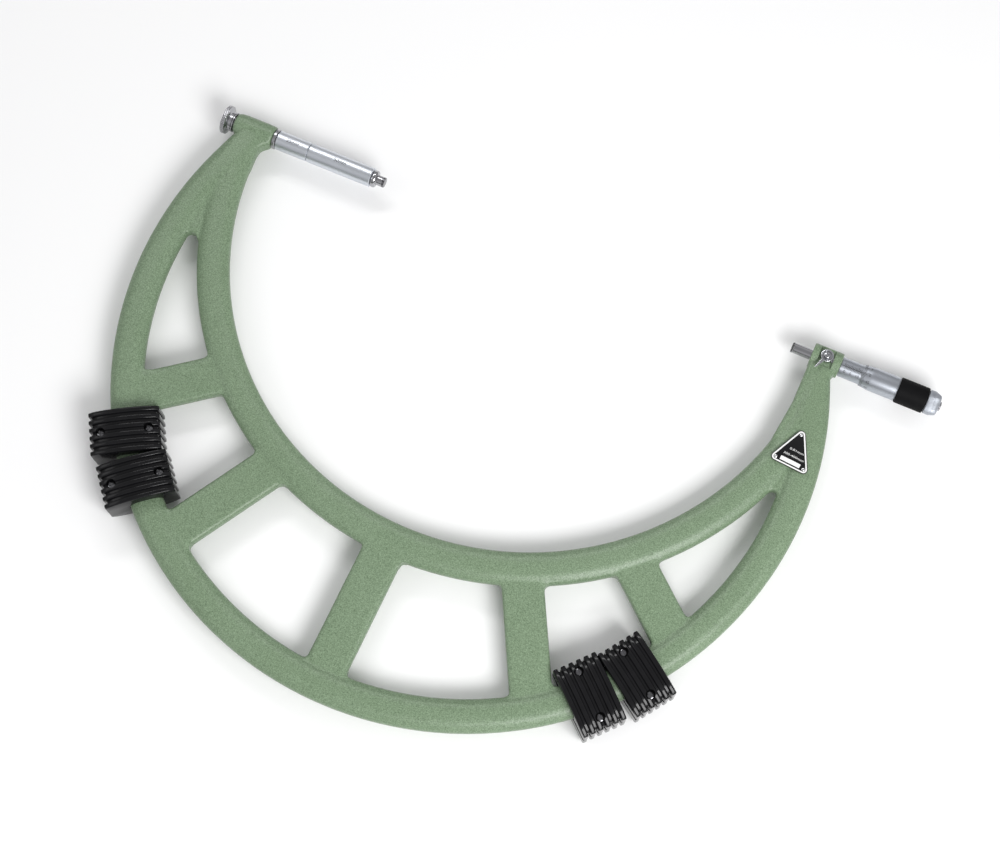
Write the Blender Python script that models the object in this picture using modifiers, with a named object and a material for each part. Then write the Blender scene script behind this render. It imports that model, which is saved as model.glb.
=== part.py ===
"""Outside micrometer, 300-400 mm, with an anvil that takes spacer collars.

The tool lies flat. +X runs along the measuring axis from the anvil to the spindle, +Z is
the front, and the bow of the frame hangs towards -Y. The origin is the centre of the
anvil's measuring face. Metres.
"""

from math import atan2, cos, degrees, pi, radians, sin, sqrt

import bmesh
import bpy
from mathutils import Matrix, Vector

MM = 0.001
GAP = 0.3 * MM          # between pieces that touch
FIT = 0.1 * MM          # between a measuring tip and the rod that carries it

# ---------------------------------------------------------------- driving dimensions
# frame: two bow-shaped rims, joined by five webs, with a boss at each end
INNER_CENTRE = Vector((119.0, -13.0)) * MM
INNER_RADIUS = 213.0 * MM
OUTER_CENTRE = Vector((114.5, -108.0)) * MM
OUTER_RADIUS = 250.7 * MM
INNER_RIM_WIDTH = 23.5 * MM
OUTER_RIM_WIDTH = 23.0 * MM
INNER_RIM_THICK = 14.0 * MM
OUTER_RIM_THICK = 15.0 * MM
RIM_ROUNDING = 4.5 * MM
RIM_STEPS = 44
RIM_TRIM = 0.6 * MM             # how far one rim's trimmed end lies inside the other's skin
WEB_HUB = Vector((117.0, -57.0)) * MM
WEB_ANGLES = (-53.2, -31.0, -1.4, 27.7, 49.8)   # degrees from straight down
WEB_REACH = ((196, 264), (186, 279), (181, 289), (185, 281), (194, 266))   # mm from the hub
WEB_WIDTH = 29.0 * MM
WEB_THICK = 12.0 * MM
WEB_ROUNDING = 2.5 * MM
NECK_THICK = 13.0 * MM
NECK_ROUNDING = 2.5 * MM
# the flares that carry the rims into the bosses, as points in mm
NECKS = {
    "anvil_neck": ((-107, 0), (-109, -24), (-92.5, -33), (-88.4, -12), (-88.4, 0)),
    "head_neck": ((328.1, 0), (328.1, -38), (324.5, -68), (341, -68), (341, -32),
                  (346.8, -9), (346.8, 0)),
}

# pieces along the measuring axis, by position on X
ANVIL_BOSS = (-119.0 * MM, -88.0 * MM)
ANVIL_BOSS_RADIUS = 8.3 * MM
HEAD_BOSS = (327.7 * MM, 349.0 * MM)
HEAD_BOSS_RADIUS = 9.0 * MM
BOSS_EDGE = 0.8 * MM
BUSH_RADIUS = 6.0 * MM
BUSH_FLANGE = 7.5 * MM
COLLAR_START = -85.0 * MM
COLLAR_JOINT = -60.0 * MM
COLLAR_END = -10.0 * MM
COLLAR_RADIUS = 7.0 * MM
ROD_RADIUS = 4.0 * MM
ANVIL_FLANGE = 6.2 * MM
ANVIL_PIN = 5.7 * MM
NUT_START = -120.6 * MM
NUT_END = -127.8 * MM
NUT_RADIUS = 10.5 * MM
SPINDLE_FACE = 313.0 * MM
MEASURING_RADIUS = 3.75 * MM
TIP_LENGTH = 1.5 * MM
GUIDE_END = 341.0 * MM          # where the head's guide bore opens out for the inner sleeve
INNER_SLEEVE_RADIUS = 5.8 * MM
INNER_SLEEVE_END = 395.0 * MM
SLEEVE_RADIUS = 7.0 * MM
SLEEVE_END = 389.0 * MM
THREAD_RADIUS = 4.1 * MM
THREAD = (355.0 * MM, 397.0 * MM)
THIMBLE_RADIUS = 8.5 * MM
THIMBLE_EDGE = 365.0 * MM
THIMBLE_TAPER = 7.0 * MM
THIMBLE_END = 412.5 * MM
THIMBLE_WALL = 408.8 * MM       # inner face of the thimble's end wall
BAND_RADIUS = 9.25 * MM
BAND_START = 391.3 * MM
CAP_START = 413.0 * MM
CAP_END = 421.9 * MM
CAP_RADIUS = 8.75 * MM
CAP_TIP_RADIUS = 7.0 * MM
CLUTCH_TEETH = 8

# lock
LOCK_X = 338.0 * MM
LOCK_SLOT = 10.8 * MM
LOCK_SLOT_RUN = 12.0 * MM
LOCK_SLOT_FLOOR = 5.8 * MM
LOCK_SCREW_RADIUS = 1.8 * MM
LOCK_HUB_RADIUS = 4.6 * MM
LOCK_HUB_TOP = 11.2 * MM
LOCK_LEVER_REACH = 12.2 * MM
LOCK_LEVER_ANGLE = -114.0       # degrees from +X, as seen from the front

# heat-insulating grips on the outer rim: bearing of each seat and of its screws' line
GRIP_SEATS = ((-55.8, -59.9), (-47.4, -50.9), (43.2, 48.1), (51.4, 55.1))
GRIP_SEAT_RADIUS = 240.5 * MM
GRIP_REACH = 49.0 * MM
GRIP_LENGTH = 31.0 * MM
GRIP_HEIGHT = 17.0 * MM
GRIP_CROWN = 3.4 * MM
GRIP_RIBS = 6
GRIP_GROOVE = 1.2 * MM
GRIP_SCREW_OUT = 16.6 * MM
GRIP_SCREW_RADIUS = 1.4 * MM
GRIP_SEAT_FLOOR = 9.0 * MM      # height of the screws' and nuts' counterbore floors
GRIP_SEAT_BORE = 3.3 * MM
SCREW_HEAD_RADIUS = 2.8 * MM
SCREW_HEAD = 2.6 * MM
GRIP_CHANNEL = (-66, 62)        # bearings the channel's cutter spans

# nameplate: three corner centres in mm, and their radius
PLATE_CORNERS = ((342.4, -60.1), (352.4, -82.6), (331.7, -81.0))
PLATE_CORNER_RADIUS = 3.0 * MM
PLATE_THICK = 0.8 * MM
PLATE_BASE = OUTER_RIM_THICK / 2 + GAP
RIVET_RADIUS = 0.9 * MM


# ---------------------------------------------------------------- scene and helpers
for old in list(bpy.data.objects):
    bpy.data.objects.remove(old, do_unlink=True)

parts = bpy.data.collections.new("outside_micrometer")
cutters = bpy.data.collections.new("cutters")
for group in (parts, cutters):
    bpy.context.scene.collection.children.link(group)


def material(name, colour, roughness, metallic):
    made = bpy.data.materials.new(name)
    made.use_nodes = True
    shader = made.node_tree.nodes["Principled BSDF"]
    shader.inputs["Base Color"].default_value = (*colour, 1.0)
    shader.inputs["Roughness"].default_value = roughness
    shader.inputs["Metallic"].default_value = metallic
    return made


PAINT = material("green_hammered_paint", (0.20, 0.32, 0.19), 0.45, 0.0)
STEEL = material("ground_steel", (0.62, 0.62, 0.63), 0.25, 1.0)
SATIN = material("satin_chrome", (0.72, 0.72, 0.74), 0.35, 1.0)
CARBIDE = material("carbide", (0.32, 0.32, 0.34), 0.18, 1.0)
PLASTIC = material("black_plastic", (0.012, 0.012, 0.014), 0.3, 0.0)
BAND = material("black_grip_band", (0.015, 0.015, 0.015), 0.55, 0.0)
BRASS = material("brass", (0.70, 0.52, 0.22), 0.3, 1.0)
PLATE = material("nameplate_black", (0.015, 0.015, 0.017), 0.35, 0.0)
ZINC = material("zinc_screw", (0.45, 0.45, 0.46), 0.35, 1.0)


def place(name, data, skin=None, location=(0, 0, 0), turn=(0, 0, 0), group=parts):
    """Links a new object. Cutters are only guides, so they are drawn as wires."""
    made = bpy.data.objects.new(name, data)
    group.objects.link(made)
    made.location = location
    made.rotation_euler = turn
    if skin and not data.materials:
        data.materials.append(skin)
    if group is cutters:
        made.hide_render = True
        made.display_type = "WIRE"
    return made


def smooth(made, angle=35):
    """Shades a mesh smooth, with sharp edges past an angle."""
    made.data.shade_smooth()
    made.data.set_sharp_from_angle(angle=radians(angle))
    return made


def turned(name, outer, inner, skin=None, origin=0.0, sides=32, group=parts):
    """A body turned about the measuring axis, with its origin at a point on it.

    outer and inner list (x, radius) from left to right. With no inner profile the body is
    solid to its axis.
    """
    path = outer[::-1]
    if inner:
        path = path + inner
    else:
        path = [(outer[-1][0], 0.0), *path, (outer[0][0], 0.0)]
    edges = [(i, i + 1) for i in range(len(path) - 1)]
    if inner:
        edges.append((len(path) - 1, 0))
    edges = [(i, j) for i, j in edges if path[i][1] or path[j][1]]
    mesh = bpy.data.meshes.new(name)
    mesh.from_pydata([(r, 0.0, x - origin) for x, r in path], edges, [])
    made = place(name, mesh, skin, (origin, 0, 0), (0, pi / 2, 0), group)
    screw = made.modifiers.new("turn", "SCREW")
    screw.axis = "Z"
    screw.angle = 2 * pi
    screw.steps = sides
    screw.render_steps = sides
    screw.use_merge_vertices = True
    screw.merge_threshold = 0.00001
    screw.use_smooth_shade = True
    return made


def ring(name, low, high, outside, inside, skin, origin=None, sides=32, edge=0.0):
    """A tube or washer along the measuring axis, with its outer edges chamfered."""
    outer = [(low, outside), (high, outside)]
    if edge:
        outer = [(low, outside - edge), (low + edge, outside), (high - edge, outside),
                 (high, outside - edge)]
    return turned(name, outer, [(low, inside), (high, inside)], skin,
                  low if origin is None else origin, sides)


def mesh_of(guide, name, skin, group=parts):
    """Replaces a curve object by its mesh, with the caps welded on."""
    bpy.context.view_layer.update()
    evaluated = guide.evaluated_get(bpy.context.evaluated_depsgraph_get())
    mesh = bpy.data.meshes.new_from_object(evaluated)
    shape = bmesh.new()
    shape.from_mesh(mesh)
    bmesh.ops.remove_doubles(shape, verts=shape.verts, dist=0.000002)
    shape.to_mesh(mesh)
    shape.free()
    mesh.materials.clear()
    made = place(name, mesh, skin, group=group)
    made.matrix_world = guide.matrix_world.copy()
    data = guide.data
    bpy.data.objects.remove(guide)
    bpy.data.curves.remove(data)
    return made


def flat(name, loop, low, high, rounding, skin, group=parts, steps=2):
    """A plate between two heights, cut to a closed outline, with its edges rounded."""
    curve = bpy.data.curves.new(name, "CURVE")
    curve.dimensions = "2D"
    curve.fill_mode = "BOTH"
    curve.extrude = (high - low) / 2 - rounding
    curve.bevel_depth = rounding
    curve.offset = -rounding
    curve.bevel_resolution = steps
    spline = curve.splines.new("POLY")
    spline.points.add(len(loop) - 1)
    for point, at in zip(spline.points, loop):
        point.co = (at[0], at[1], 0.0, 1.0)
    spline.use_cyclic_u = True
    guide = place(name + "_outline", curve, None, (0, 0, (low + high) / 2), group=cutters)
    return mesh_of(guide, name, skin, group)


def cylinder(name, radius, low, high, skin=None, at=(0, 0), sides=24, group=cutters):
    """An upright cylinder between two heights, over a point of the frame's plane."""
    shape = bmesh.new()
    bmesh.ops.create_cone(shape, cap_ends=True, segments=sides, radius1=radius,
                          radius2=radius, depth=high - low)
    mesh = bpy.data.meshes.new(name)
    shape.to_mesh(mesh)
    shape.free()
    return place(name, mesh, skin, (*at, (low + high) / 2), group=group)


def block(name, low, high):
    """A box-shaped cutter between two corners."""
    low, high = Vector(low), Vector(high)
    shape = bmesh.new()
    bmesh.ops.create_cube(shape, size=1.0)
    bmesh.ops.scale(shape, vec=high - low, verts=shape.verts)
    mesh = bpy.data.meshes.new(name)
    shape.to_mesh(mesh)
    shape.free()
    return place(name, mesh, None, (low + high) / 2, group=cutters)


def combine(target, other, operation):
    boolean = target.modifiers.new(f"{operation.lower()}_{other.name}", "BOOLEAN")
    boolean.operation = operation
    boolean.solver = "EXACT"
    boolean.object = other


def direction(angle):
    """The unit vector at a bearing from straight down (-Y), positive towards +X."""
    return Vector((sin(radians(angle)), -cos(radians(angle))))


def bearing(centre, point):
    """The bearing at which a point lies, as seen from a centre."""
    return degrees(atan2(point.x - centre.x, centre.y - point.y))


def arc(centre, radius, start, end, steps):
    """Points along an arc, from one bearing to the other."""
    return [centre + radius * direction(start + (end - start) * i / steps)
            for i in range(steps + 1)]


def crossings(centre_a, radius_a, centre_b, radius_b):
    """The two points where two circles cross, left one first."""
    between = centre_b - centre_a
    along = (radius_a**2 - radius_b**2 + between.length_squared) / (2 * between.length)
    across = sqrt(radius_a**2 - along**2)
    unit = between.normalized()
    found = [centre_a + unit * along + side * across * Vector((unit.y, -unit.x))
             for side in (-1, 1)]
    return sorted(found, key=lambda point: point.x)


def on_axis(centre, radius):
    """The two points where a circle crosses the measuring axis, left one first."""
    half = sqrt(radius**2 - centre.y**2)
    return [Vector((centre.x + side * half, 0.0)) for side in (-1, 1)]


# ---------------------------------------------------------------- frame
def rim(name, centre, kept, trimmed, trim_centre, trim_radius, thick):
    """A bow between two radii, cut off where it would leave the frame's own outline."""
    left, right = on_axis(centre, kept)
    trim_left, trim_right = on_axis(trim_centre, trim_radius)
    cross_left, cross_right = crossings(centre, trimmed, trim_centre, trim_radius)
    loop = arc(centre, kept, bearing(centre, left), bearing(centre, right), RIM_STEPS)
    loop += arc(trim_centre, trim_radius, bearing(trim_centre, trim_right),
                bearing(trim_centre, cross_right), 4)
    loop += arc(centre, trimmed, bearing(centre, cross_right), bearing(centre, cross_left),
                RIM_STEPS)[1:-1]
    loop += arc(trim_centre, trim_radius, bearing(trim_centre, cross_left),
                bearing(trim_centre, trim_left), 4)
    return flat(name, loop, -thick / 2, thick / 2, RIM_ROUNDING, PAINT,
                parts if name == "frame" else cutters)


def web(number, angle, reach):
    """One web, from inside the inner rim to inside the outer rim."""
    along = direction(angle)
    across = Vector((-along.y, along.x)) * WEB_WIDTH / 2
    start, end = (WEB_HUB + along * far * MM for far in reach)
    loop = [start - across, end - across, end + across, start + across]
    return flat(f"web_{number}", loop, -WEB_THICK / 2, WEB_THICK / 2, WEB_ROUNDING, PAINT,
                cutters, steps=1)


def build_frame():
    frame = rim("frame", INNER_CENTRE, INNER_RADIUS, INNER_RADIUS + INNER_RIM_WIDTH,
                OUTER_CENTRE, OUTER_RADIUS - RIM_TRIM, INNER_RIM_THICK)
    joined = [rim("outer_rim", OUTER_CENTRE, OUTER_RADIUS, OUTER_RADIUS - OUTER_RIM_WIDTH,
                  INNER_CENTRE, INNER_RADIUS + RIM_TRIM, OUTER_RIM_THICK)]
    for number, (angle, reach) in enumerate(zip(WEB_ANGLES, WEB_REACH), 1):
        joined.append(web(number, angle, reach))
    for name, outline in NECKS.items():
        joined.append(flat(name, [Vector(point) * MM for point in outline], -NECK_THICK / 2,
                           NECK_THICK / 2, NECK_ROUNDING, PAINT, cutters))
    for name, (low, high), radius in (("anvil_boss", ANVIL_BOSS, ANVIL_BOSS_RADIUS),
                                      ("head_boss", HEAD_BOSS, HEAD_BOSS_RADIUS)):
        outer = [(low, radius - BOSS_EDGE), (low + BOSS_EDGE, radius),
                 (high - BOSS_EDGE, radius), (high, radius - BOSS_EDGE)]
        joined.append(turned(name, outer, None, PAINT, low, 40, cutters))
    for piece in joined:
        combine(frame, piece, "UNION")

    past = 2 * MM
    bore = BUSH_RADIUS + GAP
    guide = MEASURING_RADIUS + GAP
    seat = INNER_SLEEVE_RADIUS + GAP
    side = LOCK_SLOT / 2
    removed = [
        turned("anvil_bore", [(ANVIL_BOSS[0] - past, bore), (ANVIL_BOSS[1] + past, bore)],
               None, sides=30, group=cutters),
        turned("head_bore", [(HEAD_BOSS[0] - past, guide), (GUIDE_END, guide),
                             (GUIDE_END, seat), (HEAD_BOSS[1] + past, seat)],
               None, sides=30, group=cutters),
        block("lock_slot", (LOCK_X - side, -LOCK_SLOT_RUN, LOCK_SLOT_FLOOR),
              (LOCK_X + side, LOCK_SLOT_RUN, 20 * MM)),
        cylinder("lock_screw_hole", LOCK_SCREW_RADIUS + GAP, 0, 10 * MM, at=(LOCK_X, 0)),
    ]
    for piece in removed:
        combine(frame, piece, "DIFFERENCE")
    smooth(frame)


# ---------------------------------------------------------------- anvil end
def build_anvil():
    low, high = ANVIL_BOSS
    rod_bore = ROD_RADIUS + GAP
    turned("anvil_bush",
           [(low, BUSH_RADIUS), (high + GAP, BUSH_RADIUS), (high + GAP, BUSH_FLANGE),
            (COLLAR_START - GAP, BUSH_FLANGE)],
           [(low, rod_bore), (COLLAR_START - GAP, rod_bore)], STEEL, low)
    flange_left = COLLAR_END + GAP
    pin_left = -ANVIL_PIN
    tip_left = -TIP_LENGTH
    turned("anvil_rod",
           [(NUT_END + 1.2 * MM, ROD_RADIUS - 0.6 * MM), (NUT_END + 1.8 * MM, ROD_RADIUS),
            (flange_left, ROD_RADIUS), (flange_left, ANVIL_FLANGE - 0.5 * MM),
            (flange_left + 0.6 * MM, ANVIL_FLANGE), (pin_left - 0.9 * MM, ANVIL_FLANGE),
            (pin_left, ANVIL_FLANGE - 0.9 * MM), (pin_left, MEASURING_RADIUS),
            (tip_left - FIT, MEASURING_RADIUS)],
           None, STEEL)
    turned("anvil_tip", [(tip_left, MEASURING_RADIUS), (-0.2 * MM, MEASURING_RADIUS),
                         (0.0, MEASURING_RADIUS - 0.2 * MM)], None, CARBIDE)
    ring("spacer_collar_25", COLLAR_START, COLLAR_JOINT - GAP / 2, COLLAR_RADIUS, rod_bore,
         SATIN, edge=0.3 * MM)
    ring("spacer_collar_50", COLLAR_JOINT + GAP / 2, COLLAR_END, COLLAR_RADIUS, rod_bore,
         SATIN, edge=0.3 * MM)
    ring("anvil_washer", NUT_START + GAP, low - GAP, 7.4 * MM, rod_bore, STEEL)
    neck = 7.2 * MM
    turned("anvil_nut",
           [(NUT_END, NUT_RADIUS - 0.7 * MM), (NUT_END + 0.7 * MM, NUT_RADIUS),
            (NUT_END + 3.4 * MM, NUT_RADIUS), (NUT_END + 4.4 * MM, neck + 0.8 * MM),
            (NUT_END + 4.8 * MM, neck), (NUT_START, neck)],
           [(NUT_END, rod_bore), (NUT_START, rod_bore)], STEEL, NUT_START, 48)


# ---------------------------------------------------------------- head
def build_head():
    boss_end = HEAD_BOSS[1]
    bore = THREAD_RADIUS + GAP
    ring("inner_sleeve", GUIDE_END + GAP, INNER_SLEEVE_END, INNER_SLEEVE_RADIUS, bore, STEEL)
    ring("graduated_sleeve", boss_end + GAP, SLEEVE_END, SLEEVE_RADIUS,
         INNER_SLEEVE_RADIUS + GAP, SATIN, sides=40, edge=0.3 * MM)
    ring("adjusting_nut", SLEEVE_END + GAP, INNER_SLEEVE_END, 6.9 * MM,
         INNER_SLEEVE_RADIUS + GAP, STEEL, edge=0.4 * MM)

    thread_low, thread_high = THREAD
    seat = ROD_RADIUS - 0.7 * MM
    turned("spindle",
           [(SPINDLE_FACE + TIP_LENGTH + FIT, MEASURING_RADIUS), (thread_low, MEASURING_RADIUS),
            (thread_low + 0.5 * MM, THREAD_RADIUS), (thread_high, THREAD_RADIUS),
            (thread_high + 0.5 * MM, seat), (THIMBLE_END, seat)],
           [(SPINDLE_FACE + TIP_LENGTH + FIT, 0.0), (thread_high + 4 * MM, 0.0),
            (thread_high + 4 * MM, 1.8 * MM), (THIMBLE_END, 1.8 * MM)],
           STEEL, SPINDLE_FACE)
    turned("spindle_tip",
           [(SPINDLE_FACE, MEASURING_RADIUS - 0.2 * MM), (SPINDLE_FACE + 0.2 * MM, MEASURING_RADIUS),
            (SPINDLE_FACE + TIP_LENGTH, MEASURING_RADIUS)], None, CARBIDE, SPINDLE_FACE)

    inside = SLEEVE_RADIUS + GAP
    under_band = THIMBLE_RADIUS - 0.8 * MM
    turned("thimble",
           [(THIMBLE_EDGE, inside + 0.3 * MM), (THIMBLE_EDGE + THIMBLE_TAPER, THIMBLE_RADIUS),
            (BAND_START, THIMBLE_RADIUS), (BAND_START, under_band), (THIMBLE_END, under_band)],
           [(THIMBLE_EDGE, inside), (THIMBLE_WALL, inside), (THIMBLE_WALL, seat + GAP),
            (THIMBLE_END, seat + GAP)], SATIN, THIMBLE_EDGE, 40)
    ring("thimble_grip_band", BAND_START + GAP, THIMBLE_END, BAND_RADIUS, under_band + GAP,
         BAND, sides=40, edge=0.6 * MM)


def build_ratchet():
    inside = CAP_RADIUS - 1.6 * MM
    back = CAP_END - 2.4 * MM
    screw = 1.5 * MM
    turned("ratchet_cap",
           [(CAP_START, CAP_RADIUS - 0.4 * MM), (CAP_START + 0.4 * MM, CAP_RADIUS),
            (CAP_START + 3 * MM, CAP_RADIUS), (CAP_END - 1 * MM, CAP_TIP_RADIUS),
            (CAP_END, CAP_TIP_RADIUS - 1 * MM)],
           [(CAP_START, inside), (back - 1.5 * MM, inside - 1.2 * MM), (back, inside - 1.6 * MM),
            (back, screw + GAP), (CAP_END, screw + GAP)], SATIN, CAP_START, 40)
    clutch_end = CAP_START + 1.9 * MM
    clutch = ring("ratchet_clutch", CAP_START + GAP, clutch_end, inside - 0.9 * MM, 4.2 * MM,
                  STEEL, CAP_START, 24)
    for number in range(CLUTCH_TEETH):
        turn = 2 * pi * number / CLUTCH_TEETH
        notch = block(f"clutch_notch_{number}", (clutch_end - 0.7 * MM, 3 * MM, -0.6 * MM),
                      (clutch_end + 1 * MM, 10 * MM, 0.6 * MM))
        notch.matrix_world = Matrix.Rotation(turn, 4, "X") @ Matrix.Translation(notch.location)
        combine(clutch, notch, "DIFFERENCE")
    turned("ratchet_screw",
           [(THREAD[1] + 6 * MM, screw), (CAP_END + GAP, screw), (CAP_END + GAP, 3.4 * MM),
            (CAP_END + 1.1 * MM, 3.4 * MM), (CAP_END + 1.5 * MM, 2.8 * MM)],
           None, STEEL, CAP_END, 24)
    coil("ratchet_spring", CAP_START + 2.3 * MM, back - 0.6 * MM, 3.0 * MM, 0.3 * MM, 3)


def coil(name, low, high, radius, wire, turns):
    """A compression spring about the measuring axis."""
    curve = bpy.data.curves.new(name, "CURVE")
    curve.dimensions = "3D"
    curve.bevel_depth = wire
    curve.bevel_resolution = 1
    curve.use_fill_caps = True
    steps = turns * 14
    spline = curve.splines.new("POLY")
    spline.points.add(steps)
    for i, point in enumerate(spline.points):
        angle = 2 * pi * turns * i / steps
        along = (high - low) * i / steps
        point.co = (along, radius * cos(angle), radius * sin(angle), 1.0)
    guide = place(name + "_path", curve, None, (low, 0, 0), group=cutters)
    return mesh_of(guide, name, STEEL)


# ---------------------------------------------------------------- lock
def build_lock():
    """A clamp screw over a brass pad, turned by a lever whose hub sits in the head's slot."""
    at = (LOCK_X, 0)
    cylinder("lock_pad", LOCK_SCREW_RADIUS, MEASURING_RADIUS + GAP, MEASURING_RADIUS + 1.2 * MM,
             BRASS, at, group=parts)
    cylinder("lock_screw", LOCK_SCREW_RADIUS, MEASURING_RADIUS + 1.5 * MM,
             LOCK_HUB_TOP + 0.3 * MM, ZINC, at, group=parts)
    hub = cylinder("lock_lever", LOCK_HUB_RADIUS, LOCK_SLOT_FLOOR + GAP, LOCK_HUB_TOP, SATIN,
                   at, 32, parts)
    turn = radians(LOCK_LEVER_ANGLE)
    along, across = Vector((cos(turn), sin(turn))), Vector((-sin(turn), cos(turn)))
    centre = Vector(at)
    outline = [centre + along * LOCK_HUB_RADIUS * 0.5 - across * 1.7 * MM]
    tip = centre + along * (LOCK_LEVER_REACH - 1 * MM)
    outline += [tip + 1 * MM * (across * sin(t) + along * cos(t))
                for t in (-pi / 2, -pi / 4, 0, pi / 4, pi / 2)]
    outline.append(centre + along * LOCK_HUB_RADIUS * 0.5 + across * 1.7 * MM)
    arm = flat("lock_arm", outline, 9.4 * MM, LOCK_HUB_TOP - 0.2 * MM, 0.3 * MM, SATIN, cutters,
               steps=0)
    combine(hub, arm, "UNION")
    combine(hub, cylinder("lock_hub_hole", LOCK_SCREW_RADIUS + GAP, 0, 20 * MM, at=at),
            "DIFFERENCE")
    smooth(hub)


# ---------------------------------------------------------------- heat-insulating grips
def grip_section(inset):
    """The section of half a grip, across the rim: a crowned back over a flat seam.

    inset is how far the back and the sides lie under the ribs' tops.
    """
    half = GRIP_REACH / 2 - inset
    top = GRIP_HEIGHT - inset
    crown = [(half * t, top - GRIP_CROWN * t * t) for t in (-0.92, -0.35, 0.35, 0.92)]
    shoulder = top - GRIP_CROWN - 2.0 * MM
    seam = GAP / 2
    return [(-half, seam), (-half, shoulder), *crown, (half, shoulder), (half, seam)]


def grip_mesh():
    """Half a grip, lofted along the rim through its ribs and the grooves between them."""
    pitch = GRIP_LENGTH / (GRIP_RIBS - 0.4)
    stations = []
    for rib in range(GRIP_RIBS):
        start = rib * pitch - GRIP_LENGTH / 2
        stations += [(start, 0.0), (start + 0.6 * pitch, 0.0)]
        if rib < GRIP_RIBS - 1:
            stations.append((start + 0.8 * pitch, GRIP_GROOVE))
    shape = bmesh.new()
    rings = [[shape.verts.new((u, v, z)) for u, z in grip_section(inset)]
             for v, inset in stations]
    for low, high in zip(rings, rings[1:]):
        for i in range(len(low)):
            j = (i + 1) % len(low)
            shape.faces.new((low[i], low[j], high[j], high[i]))
    shape.faces.new(rings[0][::-1])
    shape.faces.new(rings[-1])
    bmesh.ops.recalc_face_normals(shape, faces=shape.faces)
    mesh = bpy.data.meshes.new("grip_half")
    shape.to_mesh(mesh)
    shape.free()
    return mesh


def build_grips():
    """Each grip is a front and a back half, clamped round the rim by two screws and nuts."""
    half_mesh = grip_mesh()
    loop = arc(OUTER_CENTRE, OUTER_RADIUS + GAP, *GRIP_CHANNEL, RIM_STEPS)
    loop += arc(OUTER_CENTRE, OUTER_RADIUS - OUTER_RIM_WIDTH - GAP, *GRIP_CHANNEL[::-1],
                RIM_STEPS)
    half_rim = OUTER_RIM_THICK / 2 + GAP
    channel = flat("grip_channel", loop, -half_rim, half_rim, RIM_ROUNDING, None, cutters)
    head_low = GRIP_SEAT_FLOOR + GAP
    head_top = head_low + SCREW_HEAD
    for number, (seat, lean) in enumerate(GRIP_SEATS, 1):
        centre = OUTER_CENTRE + GRIP_SEAT_RADIUS * direction(seat)
        out = direction(lean)
        turn = atan2(out.y, out.x)
        spots = {"inner": centre - out * GRIP_SCREW_OUT, "outer": centre + out * GRIP_SCREW_OUT}
        for side, roll in (("front", 0.0), ("back", pi)):
            half = place(f"grip_{number}_{side}", half_mesh.copy(), PLASTIC, (*centre, 0),
                         (roll, 0, turn))
            for spot, at in spots.items():
                name = f"{number}_{side}_{spot}"
                hole = cylinder(f"grip_hole_{name}", GRIP_SCREW_RADIUS + GAP, -20 * MM, 20 * MM,
                                at=at, sides=10)
                sunk = (GRIP_SEAT_FLOOR, 30 * MM) if side == "front" else (-30 * MM, -GRIP_SEAT_FLOOR)
                seat_bore = cylinder(f"grip_bore_{name}", GRIP_SEAT_BORE, *sunk, at=at, sides=14)
                combine(half, hole, "DIFFERENCE")
                combine(half, seat_bore, "DIFFERENCE")
            combine(half, channel, "DIFFERENCE")
            smooth(half, 25)
        for spot, at in spots.items():
            screw = cylinder(f"grip_{number}_screw_{spot}", SCREW_HEAD_RADIUS, head_low, head_top,
                             ZINC, at, 14, parts)
            shank = cylinder(f"grip_shank_{number}_{spot}", GRIP_SCREW_RADIUS, -head_top,
                             head_low + 1 * MM, at=at, sides=12)
            combine(screw, shank, "UNION")
            socket = cylinder(f"grip_socket_{number}_{spot}", 1.4 * MM, head_top - 1.4 * MM,
                              head_top + 1 * MM, at=at, sides=6)
            combine(screw, socket, "DIFFERENCE")
            nut = cylinder(f"grip_{number}_nut_{spot}", SCREW_HEAD_RADIUS, -head_top + 0.6 * MM,
                           -head_low, ZINC, at, 6, parts)
            nut.rotation_euler.z = turn
            bore = cylinder(f"grip_nut_bore_{number}_{spot}", GRIP_SCREW_RADIUS + GAP, -20 * MM,
                            0, at=at, sides=12)
            combine(nut, bore, "DIFFERENCE")


# ---------------------------------------------------------------- nameplate
def build_nameplate():
    """A three-cornered plate on the head's arm, with a rivet in each corner."""
    corners = [Vector(corner) * MM for corner in PLATE_CORNERS]
    outline = []
    for i, corner in enumerate(corners):
        before = corner - corners[i - 1]
        after = corners[(i + 1) % 3] - corner
        first, last = (atan2(side.x, -side.y) for side in (before, after))
        if last > first:
            last -= 2 * pi
        outline += [corner + PLATE_CORNER_RADIUS * Vector((cos(t), sin(t)))
                    for t in (first + (last - first) * k / 5 for k in range(6))]
    plate = flat("nameplate", outline, PLATE_BASE, PLATE_BASE + PLATE_THICK, 0.1 * MM, PLATE,
                 steps=0)
    for number, corner in enumerate(corners, 1):
        hole = cylinder(f"rivet_hole_{number}", RIVET_RADIUS + GAP / 2, 0, 20 * MM, at=corner,
                        sides=16)
        combine(plate, hole, "DIFFERENCE")
        rivet = cylinder(f"nameplate_rivet_{number}", RIVET_RADIUS, PLATE_BASE,
                         PLATE_BASE + PLATE_THICK + 0.5 * MM, SATIN, corner, 16, parts)
        smooth(rivet)


build_frame()
build_anvil()
build_head()
build_ratchet()
build_lock()
build_grips()
build_nameplate()
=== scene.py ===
"""Looks for the outside micrometer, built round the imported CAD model.

Every object is in metres in the CAD frame: the origin is the centre of the anvil's measuring
face, X is the measuring axis and Z points up from the surface that the tool lies on. Shape
functions take millimetres, and MM turns them into metres.
"""

from math import atan2, cos, degrees, pi, radians, sin, sqrt, tan

import bmesh
import bpy
from mathutils import Matrix, Vector


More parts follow.
